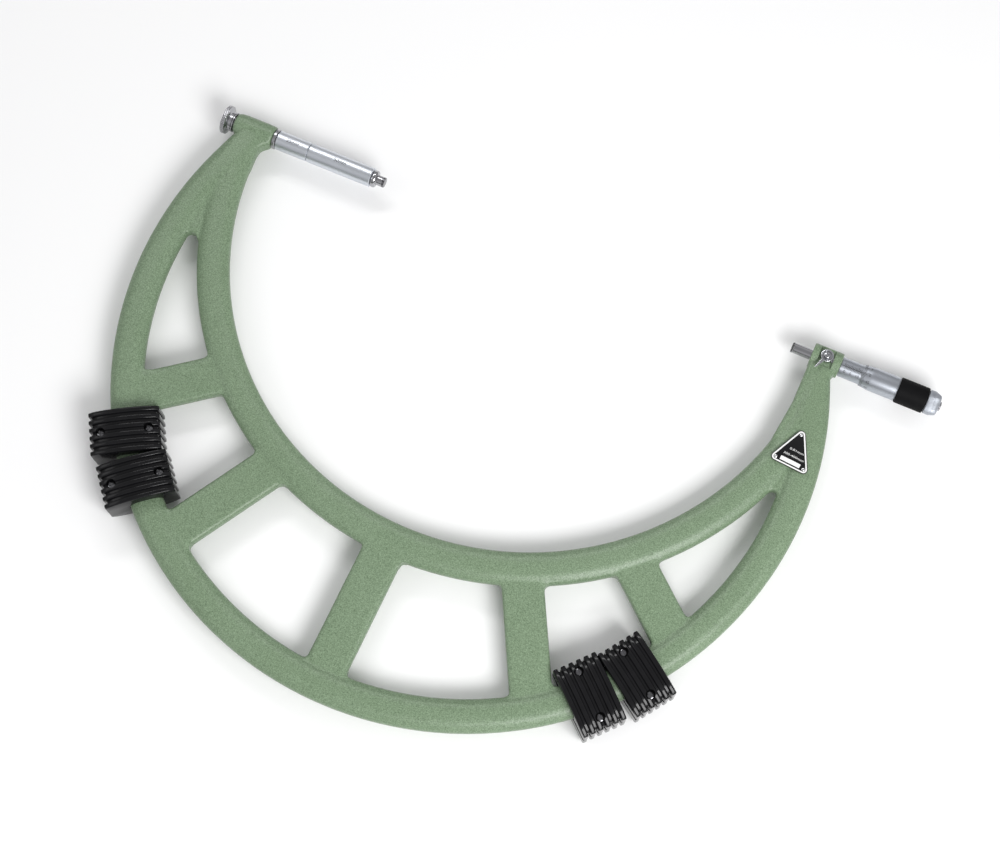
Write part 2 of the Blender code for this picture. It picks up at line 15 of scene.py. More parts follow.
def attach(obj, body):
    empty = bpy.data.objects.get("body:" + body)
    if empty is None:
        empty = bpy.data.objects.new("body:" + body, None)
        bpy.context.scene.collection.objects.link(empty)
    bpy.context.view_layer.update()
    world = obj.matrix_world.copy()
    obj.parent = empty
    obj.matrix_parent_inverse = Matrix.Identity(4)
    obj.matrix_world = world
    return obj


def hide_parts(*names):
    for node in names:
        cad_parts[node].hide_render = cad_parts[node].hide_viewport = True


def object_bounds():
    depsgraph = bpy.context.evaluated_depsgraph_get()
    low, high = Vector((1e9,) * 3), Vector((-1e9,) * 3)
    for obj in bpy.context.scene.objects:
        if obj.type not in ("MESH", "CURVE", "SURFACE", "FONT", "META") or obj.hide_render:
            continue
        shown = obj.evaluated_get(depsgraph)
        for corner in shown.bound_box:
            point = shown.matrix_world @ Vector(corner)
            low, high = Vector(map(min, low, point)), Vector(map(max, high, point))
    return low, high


MM = 0.001
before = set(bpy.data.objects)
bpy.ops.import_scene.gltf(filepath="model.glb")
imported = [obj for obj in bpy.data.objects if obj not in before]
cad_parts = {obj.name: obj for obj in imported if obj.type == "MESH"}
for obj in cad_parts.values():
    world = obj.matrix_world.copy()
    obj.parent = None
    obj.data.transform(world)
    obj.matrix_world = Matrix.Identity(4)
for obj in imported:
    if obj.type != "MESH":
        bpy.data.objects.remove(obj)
cad_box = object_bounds()
view_layer = bpy.context.view_layer


# ---------------------------------------------------------------- materials
MIX_FACTOR, MIX_A, MIX_B, MIX_RESULT = 0, 6, 7, 2    # a colour Mix node's sockets


class Nodes:
    """A short way to build a node tree on a Principled shader."""

    def __init__(self, name, colour, roughness, metallic=0.0):
        self.material = bpy.data.materials.new(name)
        self.material.use_nodes = True
        self.tree = self.material.node_tree
        self.shader = self.tree.nodes["Principled BSDF"]
        self.shader.inputs["Base Color"].default_value = (*colour, 1.0)
        self.shader.inputs["Roughness"].default_value = roughness
        self.shader.inputs["Metallic"].default_value = metallic
        self.coords = self.add("ShaderNodeTexCoord").outputs["Object"]

    def add(self, kind, **values):
        node = self.tree.nodes.new(kind)
        for key, value in values.items():
            setattr(node, key, value)
        return node

    def link(self, source, target):
        self.tree.links.new(source, target)

    def stretch(self, scale):
        mapping = self.add("ShaderNodeMapping")
        mapping.inputs["Scale"].default_value = scale
        self.link(self.coords, mapping.inputs["Vector"])
        return mapping.outputs["Vector"]

    def noise(self, scale, detail=2.0, rough=0.5, vector=None):
        node = self.add("ShaderNodeTexNoise")
        node.inputs["Scale"].default_value = scale
        node.inputs["Detail"].default_value = detail
        node.inputs["Roughness"].default_value = rough
        self.link(vector or self.coords, node.inputs["Vector"])
        return node.outputs["Fac"]

    def cells(self, scale, vector=None):
        node = self.add("ShaderNodeTexVoronoi", feature="SMOOTH_F1")
        node.inputs["Scale"].default_value = scale
        self.link(vector or self.coords, node.inputs["Vector"])
        return node.outputs["Distance"]

    def ramp(self, source, stops):
        node = self.add("ShaderNodeValToRGB")
        elements = node.color_ramp.elements
        while len(elements) < len(stops):
            elements.new(0.5)
        for element, (at, colour) in zip(elements, stops):
            element.position = at
            element.color = (*colour, 1.0)
        self.link(source, node.inputs["Fac"])
        return node.outputs["Color"]

    def span(self, source, low, high):
        node = self.add("ShaderNodeMapRange")
        node.inputs["To Min"].default_value = low
        node.inputs["To Max"].default_value = high
        self.link(source, node.inputs["Value"])
        return node.outputs["Result"]

    def mix(self, factor, a, b):
        node = self.add("ShaderNodeMix", data_type="RGBA")
        for source, socket in ((factor, MIX_FACTOR), (a, MIX_A), (b, MIX_B)):
            if isinstance(source, (tuple, list)):
                node.inputs[socket].default_value = (*source, 1.0)
            elif isinstance(source, float):
                node.inputs[socket].default_value = source
            else:
                self.link(source, node.inputs[socket])
        return node.outputs[MIX_RESULT]

    def bump(self, height, strength, distance, after=None):
        node = self.add("ShaderNodeBump")
        node.inputs["Strength"].default_value = strength
        node.inputs["Distance"].default_value = distance
        self.link(height, node.inputs["Height"])
        if after:
            self.link(after, node.inputs["Normal"])
        return node.outputs["Normal"]

    def finish(self, colour=None, roughness=None, normal=None, **sockets):
        for source, name in ((colour, "Base Color"), (roughness, "Roughness"),
                             (normal, "Normal")):
            if source:
                self.link(source, self.shader.inputs[name])
        for name, value in sockets.items():
            self.shader.inputs[name.replace("_", " ")].default_value = value
        return self.material


def enamel():
    """Sage-green hammered enamel: orange peel, mottled grain and a few dark pits."""
    n = Nodes("green_enamel", (0.190, 0.285, 0.170), 0.42)
    speckle = n.noise(1200, 3, 0.75)
    cloud = n.noise(22, 3, 0.55)
    tone = n.mix(n.span(cloud, 0.0, 1.0), (0.156, 0.227, 0.135), (0.188, 0.264, 0.166))
    grain = n.ramp(speckle, [(0.34, (0.42, 0.48, 0.40)), (0.50, (1.0, 1.0, 1.0)),
                             (0.66, (1.55, 1.47, 1.58))])
    mottled = n.add("ShaderNodeMix", data_type="RGBA", blend_type="MULTIPLY")
    mottled.inputs[MIX_FACTOR].default_value = 0.85
    n.link(tone, mottled.inputs[MIX_A])
    n.link(grain, mottled.inputs[MIX_B])
    pits = n.ramp(n.noise(210, 2, 0.5), [(0.195, (1, 1, 1)), (0.215, (0, 0, 0))])
    colour = n.mix(pits, mottled.outputs[MIX_RESULT], (0.09, 0.13, 0.08))
    peel = n.bump(n.cells(430), 0.45, 0.0004)
    fine = n.bump(speckle, 0.30, 0.0002, peel)
    return n.finish(colour, n.span(n.noise(260, 2), 0.33, 0.47), fine)


def brushed(name, colour, roughness, spread, around=True, depth=0.12):
    """Metal with fine marks, which run round the measuring axis on a turned piece."""
    n = Nodes(name, colour, roughness, 1.0)
    scale = (9000, 260, 260) if around else (300, 300, 300)
    marks = n.noise(1.0, 4, 0.65, n.stretch(scale))
    smudge = n.noise(70, 3, 0.6)
    tone = n.mix(n.span(smudge, 0.0, 1.0), tuple(c * 0.90 for c in colour),
                 tuple(min(1.0, c * 1.07) for c in colour))
    rough = n.span(marks, roughness - spread, roughness + spread)
    return n.finish(tone, rough, n.bump(marks, depth, 0.00002))


def moulded(name, colour, roughness, grain, shine):
    """Moulded plastic or rubber: a faint haze and a fine grain."""
    n = Nodes(name, colour, roughness)
    fine = n.noise(2600, 2, 0.6)
    haze = n.noise(120, 2, 0.5)
    tone = n.mix(n.span(haze, 0.0, 1.0), colour, tuple(c * 1.7 + 0.002 for c in colour))
    return n.finish(tone, n.span(haze, roughness - 0.05, roughness + 0.05),
                    n.bump(fine, grain, 0.00004), Specular_IOR_Level=shine)


def printed(name, colour):
    """Ink or paint in thin lines, slightly worn."""
    roughness = 0.5
    n = Nodes(name, colour, roughness)
    wear = n.noise(900, 2, 0.5)
    tone = n.mix(n.span(wear, 0.0, 0.5), colour, tuple(c * 0.86 for c in colour))
    return n.finish(tone, n.span(wear, roughness - 0.06, roughness + 0.06))


ENAMEL = enamel()
SATIN = brushed("satin_chrome", (0.46, 0.485, 0.53), 0.36, 0.05)
# Painted light: a lighter copy of the satin chrome, used on the collars to stand in for the
# brighter light that falls on them.
LIT_SATIN = brushed("satin_chrome_painted_lit", (0.68, 0.71, 0.76), 0.36, 0.05)
GROUND = brushed("ground_steel", (0.44, 0.44, 0.46), 0.22, 0.05)
POLISHED = brushed("polished_steel", (0.46, 0.46, 0.48), 0.09, 0.03)
CARBIDE = brushed("carbide_tip", (0.20, 0.20, 0.21), 0.16, 0.04)
CAST = brushed("lever_steel", (0.52, 0.53, 0.55), 0.22, 0.05, around=False)
SCREW = brushed("screw_steel", (0.22, 0.22, 0.23), 0.24, 0.06, around=False)
BRASS = brushed("brass_pad", (0.70, 0.50, 0.20), 0.3, 0.05)
PLASTIC = moulded("black_plastic", (0.0040, 0.0040, 0.0046), 0.14, 0.08, 0.26)
RUBBER = moulded("black_band", (0.0030, 0.0030, 0.0034), 0.55, 0.25, 0.08)
PLATE = moulded("plate_black", (0.006, 0.006, 0.0065), 0.32, 0.10, 0.2)
INK = printed("engraving_black", (0.022, 0.022, 0.024))
WHITE = printed("print_white", (0.86, 0.86, 0.85))
SILVER = brushed("rivet_aluminium", (0.80, 0.80, 0.81), 0.22, 0.05, around=False)


# ---------------------------------------------------------------- mesh helpers
def add(name, mesh, body, skin, angle=32):
    """A visible piece on a body; edges sharper than the angle (degrees) stay sharp."""
    piece = bpy.data.objects.new(name, mesh)
    bpy.context.scene.collection.objects.link(piece)
    mesh.materials.clear()
    mesh.materials.append(skin)
    if len(mesh.polygons) and angle is not None:
        mesh.shade_smooth()
        mesh.set_sharp_from_angle(angle=radians(angle))
    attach(piece, body)
    return piece


def to_mesh(name, shape):
    """The bmesh as a mesh; the bmesh is used up."""
    mesh = bpy.data.meshes.new(name)
    shape.normal_update()
    shape.to_mesh(mesh)
    shape.free()
    return mesh


def helper(name, mesh):
    """An object used only to shape another: it is removed after use."""
    made = bpy.data.objects.new(name, mesh)
    bpy.context.scene.collection.objects.link(made)
    return made


def applied(obj):
    """The object's mesh with its modifiers applied."""
    view_layer.update()
    evaluated = obj.evaluated_get(bpy.context.evaluated_depsgraph_get())
    return bpy.data.meshes.new_from_object(evaluated)


def drop(*objects):
    for obj in objects:
        data = obj.data
        bpy.data.objects.remove(obj)
        if isinstance(data, bpy.types.Mesh) and data.users == 0:
            bpy.data.meshes.remove(data)


def rounded(profile, radius, steps=3):
    """A profile of (x, r) points with its inner corners rounded."""
    out = [profile[0]]
    for before, here, after in zip(profile, profile[1:], profile[2:]):
        a, p, b = Vector(before), Vector(here), Vector(after)
        first, second = a - p, b - p
        reach = min(radius, first.length * 0.45, second.length * 0.45)
        start, end = p + first.normalized() * reach, p + second.normalized() * reach
        for k in range(steps + 1):
            t = k / steps
            out.append(tuple((1 - t) ** 2 * start + 2 * t * (1 - t) * p + t * t * end))
    out.append(profile[-1])
    return out


def lathe(profile, sides=96, shape_radius=None):
    """A closed surface turned about the measuring axis from (x, radius) points in mm.

    shape_radius(x, radius, angle) gives a radius that changes round the piece, as a knurl's.
    """
    shape = bmesh.new()
    rings = []
    for x, r in profile:
        if r < 1e-6:
            rings.append([shape.verts.new((x * MM, 0, 0))])
            continue
        ring = []
        for k in range(sides):
            angle = 2 * pi * k / sides
            size = r if shape_radius is None else shape_radius(x, r, angle)
            ring.append(shape.verts.new((x * MM, size * MM * cos(angle), size * MM * sin(angle))))
        rings.append(ring)
    pairs = list(zip(rings, rings[1:]))
    if len(rings[0]) > 1 and len(rings[-1]) > 1:
        pairs.append((rings[-1], rings[0]))
    for low, high in pairs:
        for k in range(sides):
            j = (k + 1) % sides
            loop = [low[k % len(low)], low[j % len(low)],
                    high[j % len(high)], high[k % len(high)]]
            loop = [v for i, v in enumerate(loop) if v not in loop[:i]]
            if len(loop) > 2:
                shape.faces.new(loop)
    bmesh.ops.recalc_face_normals(shape, faces=shape.faces)
    return shape


def turned(name, profile, body, skin, sides=96, angle=32, shape_radius=None):
    mesh = to_mesh(name, lathe(profile, sides, shape_radius))
    return add(name, mesh, body, skin, angle)


def plate_mesh(loop, low, high, rounding, steps=3):
    """A plate between two heights (mm), cut to an outline, with rounded edges."""
    curve = bpy.data.curves.new("outline", "CURVE")
    curve.dimensions = "2D"
    curve.fill_mode = "BOTH"
    curve.extrude = ((high - low) / 2 - rounding) * MM
    curve.bevel_depth = rounding * MM
    curve.offset = -rounding * MM
    curve.bevel_resolution = steps
    spline = curve.splines.new("POLY")
    spline.points.add(len(loop) - 1)
    for point, at in zip(spline.points, loop):
        point.co = (at[0] * MM, at[1] * MM, 0.0, 1.0)
    spline.use_cyclic_u = True
    guide = helper("outline", curve)
    guide.location.z = (low + high) / 2 * MM
    mesh = applied(guide)
    mesh.transform(guide.matrix_world)
    bpy.data.objects.remove(guide)
    bpy.data.curves.remove(curve)
    shape = bmesh.new()
    shape.from_mesh(mesh)
    bpy.data.meshes.remove(mesh)
    bmesh.ops.remove_doubles(shape, verts=shape.verts, dist=0.000002)
    bmesh.ops.recalc_face_normals(shape, faces=shape.faces)
    return shape


def post(radius, low, high, at=(0, 0), sides=48):
    """An upright cylinder, in mm."""
    shape = bmesh.new()
    bmesh.ops.create_cone(shape, cap_ends=True, segments=sides, radius1=radius * MM,
                          radius2=radius * MM, depth=(high - low) * MM)
    bmesh.ops.translate(shape, vec=(at[0] * MM, at[1] * MM, (low + high) / 2 * MM),
                        verts=shape.verts)
    return shape


def box(low, high):
    """A block between two corners, in mm."""
    shape = bmesh.new()
    bmesh.ops.create_cube(shape, size=1.0)
    low, high = Vector(low) * MM, Vector(high) * MM
    bmesh.ops.scale(shape, vec=high - low, verts=shape.verts)
    bmesh.ops.translate(shape, vec=(low + high) / 2, verts=shape.verts)
    return shape


def joined(shapes):
    """One mesh holding every shape, side by side."""
    whole = bmesh.new()
    for shape in shapes:
        mesh = to_mesh("part", shape)
        whole.from_mesh(mesh)
        bpy.data.meshes.remove(mesh)
    return whole


def carve(mesh, cutter_shapes, operation="DIFFERENCE"):
    """The mesh after each cutter is taken from it, or joined to it."""
    target = helper("target", mesh)
    cutters = []
    for shape in cutter_shapes:
        cutter = helper("cutter", to_mesh("cutter", shape))
        boolean = target.modifiers.new("cut", "BOOLEAN")
        boolean.operation = operation
        boolean.solver = "MANIFOLD"
        boolean.object = cutter
        cutters.append(cutter)
    result = applied(target)
    drop(target, *cutters)
    return result


def direction(angle):
    """The unit vector at a bearing from straight down (-Y), positive towards +X."""
    return Vector((sin(radians(angle)), -cos(radians(angle))))


def bearing(centre, point):
    """The bearing, in degrees, of a point seen from a centre."""
    return degrees(atan2(point.x - centre.x, centre.y - point.y))


def arc(centre, radius, start, end, steps):
    """Points on a circle from one bearing to another."""
    return [centre + radius * direction(start + (end - start) * i / steps)
            for i in range(steps + 1)]


def crossings(centre_a, radius_a, centre_b, radius_b):
    """Where two circles cross, the leftmost point first."""
    between = centre_b - centre_a
    along = (radius_a**2 - radius_b**2 + between.length_squared) / (2 * between.length)
    across = sqrt(radius_a**2 - along**2)
    unit = between.normalized()
    found = [centre_a + unit * along + side * across * Vector((unit.y, -unit.x))
             for side in (-1, 1)]
    return sorted(found, key=lambda point: point.x)


def on_axis(centre, radius):
    """Where a circle crosses the measuring axis, the leftmost point first."""
    half = sqrt(radius**2 - centre.y**2)
    return [Vector((centre.x + side * half, 0.0)) for side in (-1, 1)]


# ---------------------------------------------------------------- camera, light, floor
CAMERA_AT, CAMERA_AIM = Vector((0.3250, -0.4943, 1.3250)), Vector((0.1506, -0.1375, 0.0))
CAMERA_UP = Vector((-0.4018, 0.9157, 0.0))
SKY = ((0.0, 0.62), (0.1, 0.50), (0.28, 0.62), (0.5, 1.0), (0.75, 0.98), (0.9, 0.70), (1.0, 0.64))
SKY_STRENGTH = 0.57
LIGHTS = (    # name, place, target, size, watts
    ("key", (0.95, -0.75, 1.00), (0.16, -0.22, 0), (0.8, 0.6), 17.5),
    ("fill", (-1.10, -0.60, 1.20), (0.12, -0.20, 0), (0.7, 0.7), 1.5),
    ("strip", (-0.45, 0.70, 1.15), (-0.05, 0.0, 0), (1.0, 0.22), 4.5),
)


def set_camera():
    camera = bpy.data.cameras.new("camera")
    camera.lens = 72.0
    camera.sensor_width = 36.0
    camera.sensor_fit = "HORIZONTAL"
    camera.clip_end = 20.0
    holder = bpy.data.objects.new("camera", camera)
    bpy.context.scene.collection.objects.link(holder)
    back = (CAMERA_AT - CAMERA_AIM).normalized()
    right = CAMERA_UP.cross(back).normalized()
    up = back.cross(right)
    turn = Matrix((right, up, back)).transposed().to_4x4()
    holder.matrix_world = Matrix.Translation(CAMERA_AT) @ turn
    bpy.context.scene.camera = holder


def set_floor():
    floor_mesh = bpy.data.meshes.new("floor")
    half, z = 6.0, cad_box[0][2] - 0.0002
    floor_mesh.from_pydata([(-half, -half, z), (half, -half, z), (half, half, z), (-half, half, z)],
                           [], [(0, 1, 2, 3)])
    floor = bpy.data.objects.new("floor", floor_mesh)
    bpy.context.scene.collection.objects.link(floor)
    pale = Nodes("pale_floor", (0.93, 0.93, 0.93), 0.75)
    floor_mesh.materials.append(pale.finish(Specular_IOR_Level=0.1))


def set_sky():
    """A soft studio sky, greyer overhead and near the ground."""
    world = bpy.data.worlds.new("studio")
    world.use_nodes = True
    tree = world.node_tree
    sky, split = tree.nodes.new("ShaderNodeTexCoord"), tree.nodes.new("ShaderNodeSeparateXYZ")
    ramp = tree.nodes.new("ShaderNodeValToRGB")
    stops = ramp.color_ramp.elements
    for at, grey in SKY:
        if 0 < at < 1:
            stop = stops.new(at)
        else:
            stop = stops[0] if at == 0 else stops[-1]
        stop.color = (grey, grey, grey * 1.01, 1.0)
    tree.links.new(sky.outputs["Generated"], split.inputs[0])
    tree.links.new(split.outputs["Z"], ramp.inputs["Fac"])
    tree.links.new(ramp.outputs["Color"], tree.nodes["Background"].inputs["Color"])
    tree.nodes["Background"].inputs["Strength"].default_value = SKY_STRENGTH
    bpy.context.scene.world = world


def set_lights():
    for name, at, target, size, power in LIGHTS:
        lamp = bpy.data.lights.new(name, "AREA")
        lamp.shape = "RECTANGLE"
        lamp.size, lamp.size_y = size
        lamp.energy = power
        light = bpy.data.objects.new(name, lamp)
        bpy.context.scene.collection.objects.link(light)
        light.location = at
        light.rotation_euler = (Vector(at) - Vector(target)).to_track_quat("Z", "Y").to_euler()


def set_tone():
    settings = bpy.context.scene.view_settings
    settings.view_transform = "Standard"
    settings.look = "None"


# ---------------------------------------------------------------- frame casting
# The bow is two round rims, each a circle's centre, its radius and the rim's width. The inner
# rim's radius is its inner side, and the outer rim's is its outer side.
INNER_CENTRE, INNER_RADIUS, INNER_WIDTH = Vector((119.0, -13.0)), 213.0, 23.5
OUTER_CENTRE, OUTER_RADIUS, OUTER_WIDTH = Vector((114.5, -108.0)), 250.7, 23.0
INNER_FAR, OUTER_NEAR = INNER_RADIUS + INNER_WIDTH, OUTER_RADIUS - OUTER_WIDTH
# The webs point at the hub. Each has a bearing from it, and the distances of its two ends.
HUB = Vector((117.0, -57.0))
WEBS = ((-53.2, 190, 266), (-31.0, 181, 281), (-1.4, 176, 290), (27.7, 180, 282), (49.8, 188, 268))
WEB_HALF = 14.5
LOCK_X = 338.0
LOCK_SLOT_HALF = 5.4
PLATE_TOP, PLATE_LEFT, PLATE_RIGHT = (Vector(at) for at in ((342.4, -60.1), (331.7, -81.0),
                                                            (352.4, -82.6)))


def rim_shape(centre, kept, trimmed, trim_centre, trim_radius, half, rounding):
    """A plate between two circles, cut off along the other rim's circle in the arms."""
    left, right = on_axis(centre, kept)
    trim_left, trim_right = on_axis(trim_centre, trim_radius)
    cross_left, cross_right = crossings(centre, trimmed, trim_centre, trim_radius)
    steps = 150
    loop = arc(centre, kept, bearing(centre, left), bearing(centre, right), steps)
    loop += arc(trim_centre, trim_radius, bearing(trim_centre, trim_right),
                bearing(trim_centre, cross_right), 8)
    loop += arc(centre, trimmed, bearing(centre, cross_right), bearing(centre, cross_left),
                steps)[1:-1]
    loop += arc(trim_centre, trim_radius, bearing(trim_centre, cross_left),
                bearing(trim_centre, trim_left), 8)
    return plate_mesh(loop, -half, half, rounding, 5)


def fillet(corner, first, second, radius, half):
    """A prism that fills an inside corner up to an arc."""
    first, second = first.normalized(), second.normalized()
    opening = first.angle(second)
    reach = radius / tan(opening / 2)
    middle = (first + second).normalized()
    centre = corner + middle * radius / sin(opening / 2)
    start, end = corner + first * reach - centre, corner + second * reach - centre
    turn = start.angle_signed(end)
    loop = [corner - middle * 3.0 - first * 2.0]
    loop += [centre + Matrix.Rotation(-turn * k / 6, 2) @ start for k in range(7)]
    loop.append(corner - middle * 3.0 - second * 2.0)
    return plate_mesh(loop, -half, half, 0.6, 0)


def line_meets(start, along, centre, radius):
    """Where a ray from a point crosses a circle that it starts inside of."""
    offset = start - centre
    reach = -offset.dot(along)
    return start + along * (reach + sqrt(reach**2 - offset.length_squared + radius**2))


def fillets():
    """Fills the corners of the six openings."""
    shapes = []
    for angle, _, _ in WEBS:
        along = direction(angle)
        across = Vector((-along.y, along.x))
        for side in (-1, 1):
            away = across * side
            start = HUB + away * WEB_HALF
            for centre, radius, into in ((INNER_CENTRE, INNER_FAR, 1),
                                         (OUTER_CENTRE, OUTER_NEAR, -1)):
                corner = line_meets(start, along, centre, radius)
                radial = (corner - centre).normalized()
                tangent = Vector((-radial.y, radial.x))
                if tangent.dot(away) < 0:
                    tangent = -tangent
                shapes.append(fillet(corner, along * into, tangent, 2.2, 5.4))
    tips = crossings(INNER_CENTRE, INNER_FAR, OUTER_CENTRE, OUTER_NEAR)
    for corner, radius in zip(tips, (4.8, 2.5)):
        ways = []
        for centre in (INNER_CENTRE, OUTER_CENTRE):
            radial = (corner - centre).normalized()
            tangent = Vector((-radial.y, radial.x))
            ways.append(tangent if tangent.y < 0 else -tangent)
        shapes.append(fillet(corner, *ways, radius, 5.8))
    return shapes


def raw_casting():
    """The rims, webs, fillets, arms and bosses, side by side."""
    shapes = [rim_shape(INNER_CENTRE, INNER_RADIUS, INNER_FAR, OUTER_CENTRE,
                        OUTER_RADIUS - 0.5, 7.0, 5.4),
              rim_shape(OUTER_CENTRE, OUTER_RADIUS, OUTER_NEAR, INNER_CENTRE,
                        INNER_RADIUS + 0.5, 7.5, 5.8)]
    for angle, near, far in WEBS:
        along = direction(angle)
        across = Vector((-along.y, along.x)) * WEB_HALF
        start, end = HUB + along * near, HUB + along * far
        shapes.append(plate_mesh([start - across, end - across, end + across, start + across],
                                 -6.0, 6.0, 3.0, 4))
    shapes += fillets()
    anvil_neck = [(-107, 0), (-109, -24), (-93.2, -31), (-94.2, -18), (-93.9, -13.6),
                  (-92.6, -10.8), (-90, -8.8), (-88.3, -7.4), (-88.3, 0)]
    head_neck = [(328.1, 0), (328.1, -38), (324.5, -68), (341, -68), (341, -32), (346.8, -10),
                 (347.6, -6), (347.6, 0)]
    anvil_boss = [(-119, 0), (-119, 6.9), (-118.2, 7.5), (-116, 8.1), (-112.5, 8.4), (-90, 8.4),
                  (-88.7, 8.1), (-88, 7.5), (-88, 0)]
    head_core = [(328.4, 0), (328.4, 8.2), (348.4, 8.2), (348.4, 0)]
    shapes.append(plate_mesh(anvil_neck, -6.6, 6.6, 2.8))
    shapes.append(plate_mesh(head_neck, -6.8, 6.8, 2.4))
    shapes.append(lathe(anvil_boss, 72))
    shapes.append(lathe(head_core, 72))
    return joined(shapes)


def softened(shape):
    """One skin over every shape in it, with the corners softened as a casting's."""
    whole = helper("casting", to_mesh("casting", shape))
    remesh = whole.modifiers.new("remesh", "REMESH")
    remesh.mode = "VOXEL"
    remesh.voxel_size = 0.0009
    soften = whole.modifiers.new("soften", "CORRECTIVE_SMOOTH")
    soften.factor = 0.5
    soften.iterations = 9
    soften.smooth_type = "SIMPLE"
    soften.use_only_smooth = True
    thin = whole.modifiers.new("thin", "DECIMATE")
    thin.ratio = 0.42
    skin = applied(whole)
    drop(whole)
    return skin


def crown(skin):
    """Thins the bow away from the middle of each rim; the arms' tops keep their thickness."""
    thinnest, drop_off, power = 0.80, 0.36, 2.2
    rims = ((INNER_CENTRE, INNER_RADIUS + INNER_WIDTH / 2, INNER_WIDTH / 2),
            (OUTER_CENTRE, OUTER_RADIUS - OUTER_WIDTH / 2, OUTER_WIDTH / 2))
    for vert in skin.vertices:
        at = Vector(vert.co.xy) / MM
        share = min(1.0, max(0.0, (-8.0 - at.y) / 16.0))
        off = 1.0
        for centre, middle, half in rims:
            off *= min(1.0, abs((at - centre).length - middle) / half)
        height = max(thinnest, 1.0 - drop_off * off ** power)
        vert.co.z *= 1.0 + (height - 1.0) * share * share * (3 - 2 * share)


def build_frame():
    skin = softened(raw_casting())
    crown(skin)
    boss = [(327.7, 0), (327.7, 8.5), (328.2, 9), (348.5, 9), (349, 8.5), (349, 0)]
    pad = [corner + 2.6 * direction(angle)
           for corner, angles in ((PLATE_TOP, (75, 120, 180, 240)),
                                  (PLATE_LEFT, (240, 295, 350)),
                                  (PLATE_RIGHT, (10, 45, 75)))
           for angle in angles]
    skin = carve(skin, [lathe(boss, 96), plate_mesh(pad, 4.0, 7.78, 0.3, 2)], operation="UNION")
    anvil_bore = [(-125, 0), (-125, 6.3), (-80, 6.3), (-80, 0)]
    head_bore = [(320, 0), (320, 4.05), (341, 4.05), (341, 6.1), (355, 6.1), (355, 0)]
    cutters = [
        lathe(anvil_bore, 64),
        lathe(head_bore, 64),
        box((LOCK_X - LOCK_SLOT_HALF, -7.4, 5.8), (LOCK_X + LOCK_SLOT_HALF, 12, 20)),
        post(2.1, 0, 10, (LOCK_X, 0)),
    ]
    skin = carve(skin, cutters)
    piece = add("frame_casting", skin, "frame", ENAMEL, 38)
    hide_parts("frame")


# ---------------------------------------------------------------- marks on turned surfaces
def text_shape(words, size):
    """A flat text of a size in mm, centred on its own middle."""
    curve = bpy.data.curves.new("words", "FONT")
    curve.body = words
    curve.size = size * MM
    curve.align_x = "CENTER"
    curve.align_y = "CENTER"
    curve.resolution_u = 3
    guide = helper("words", curve)
    mesh = applied(guide)
    bpy.data.objects.remove(guide)
    bpy.data.curves.remove(curve)
    shape = bmesh.new()
    shape.from_mesh(mesh)
    bpy.data.meshes.remove(mesh)
    high = max(abs(vert.co.y) for vert in shape.verts)
    rows = 6    # cut lines in each half of the height, so that the text can bend
    for k in range(1, 2 * rows):
        bmesh.ops.bisect_plane(shape, geom=[*shape.verts, *shape.edges, *shape.faces],
                               plane_co=(0, high * (k / rows - 1), 0), plane_no=(0, 1, 0))
    return shape


def strip(length, width, pieces=1):
    """A thin line along X, in mm, cut into pieces so that it can bend."""
    shape = bmesh.new()
    rows = []
    for k in range(pieces + 1):
        x = (k / pieces - 0.5) * length * MM
        rows.append([shape.verts.new((x, side * width * MM / 2, 0)) for side in (-1, 1)])
    for a, b in zip(rows, rows[1:]):
        shape.faces.new((a[0], b[0], b[1], a[1]))
    return shape


MARK_LIFT = 0.00004    # a mark's height over its surface, in metres


def wrap(shape, x, angle, radius, turn=0.0, slope=0.0):
    """Lays a flat shape on a turned surface, with its middle at x and an angle from +Z.

    turn spins it in its own plane first. slope is the surface's change of radius along X.
    """
    if turn:
        bmesh.ops.rotate(shape, verts=shape.verts, cent=(0, 0, 0),
                         matrix=Matrix.Rotation(turn, 3, "Z"))
    for vert in shape.verts:
        along, across = vert.co.x, vert.co.y
        size = radius * MM + slope * along + MARK_LIFT
        theta = angle + across / size
        vert.co = (x * MM + along, size * sin(theta), size * cos(theta))
    return shape


def ink(name, shapes, body):
    """Black marks on a turned surface, joined and facing out."""
    whole = joined(shapes)
    for face in whole.faces:
        middle = face.calc_center_median()
        if face.normal.dot(Vector((0, middle.y, middle.z))) < 0:
            face.normal_flip()
    return add(name, to_mesh(name, whole), body, INK, None)


# ---------------------------------------------------------------- anvil side
def diamond(angle, x, crosses, lead):
    """How near a point is to a diamond knurl's grooves: 1 in a groove's floor."""
    wave = abs(((angle * crosses / pi + x * lead) % 2) - 1)
    weft = abs(((angle * crosses / pi - x * lead) % 2) - 1)
    return max(wave, weft)


def build_collars():
    radius = 7.0
    collars = {"spacer_collar_25": (-85.0, -60.15, "25mm"),
               "spacer_collar_50": (-59.85, -10.0, "50mm")}
    for name, (low, high, words) in collars.items():
        profile = [(low, 4.3), (low, radius - 0.4), (low + 0.4, radius), (high - 0.4, radius),
                   (high, radius - 0.4), (high, 4.3)]
        # The collars take the lighter copy of satin chrome: painted light.
        piece = turned(name + "_body", profile, "anvil", LIT_SATIN)
        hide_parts(name)
        label = wrap(text_shape(words, 3.8), (low + high) / 2, radians(-2), radius)
        ink(name + "_label", [label], "anvil")


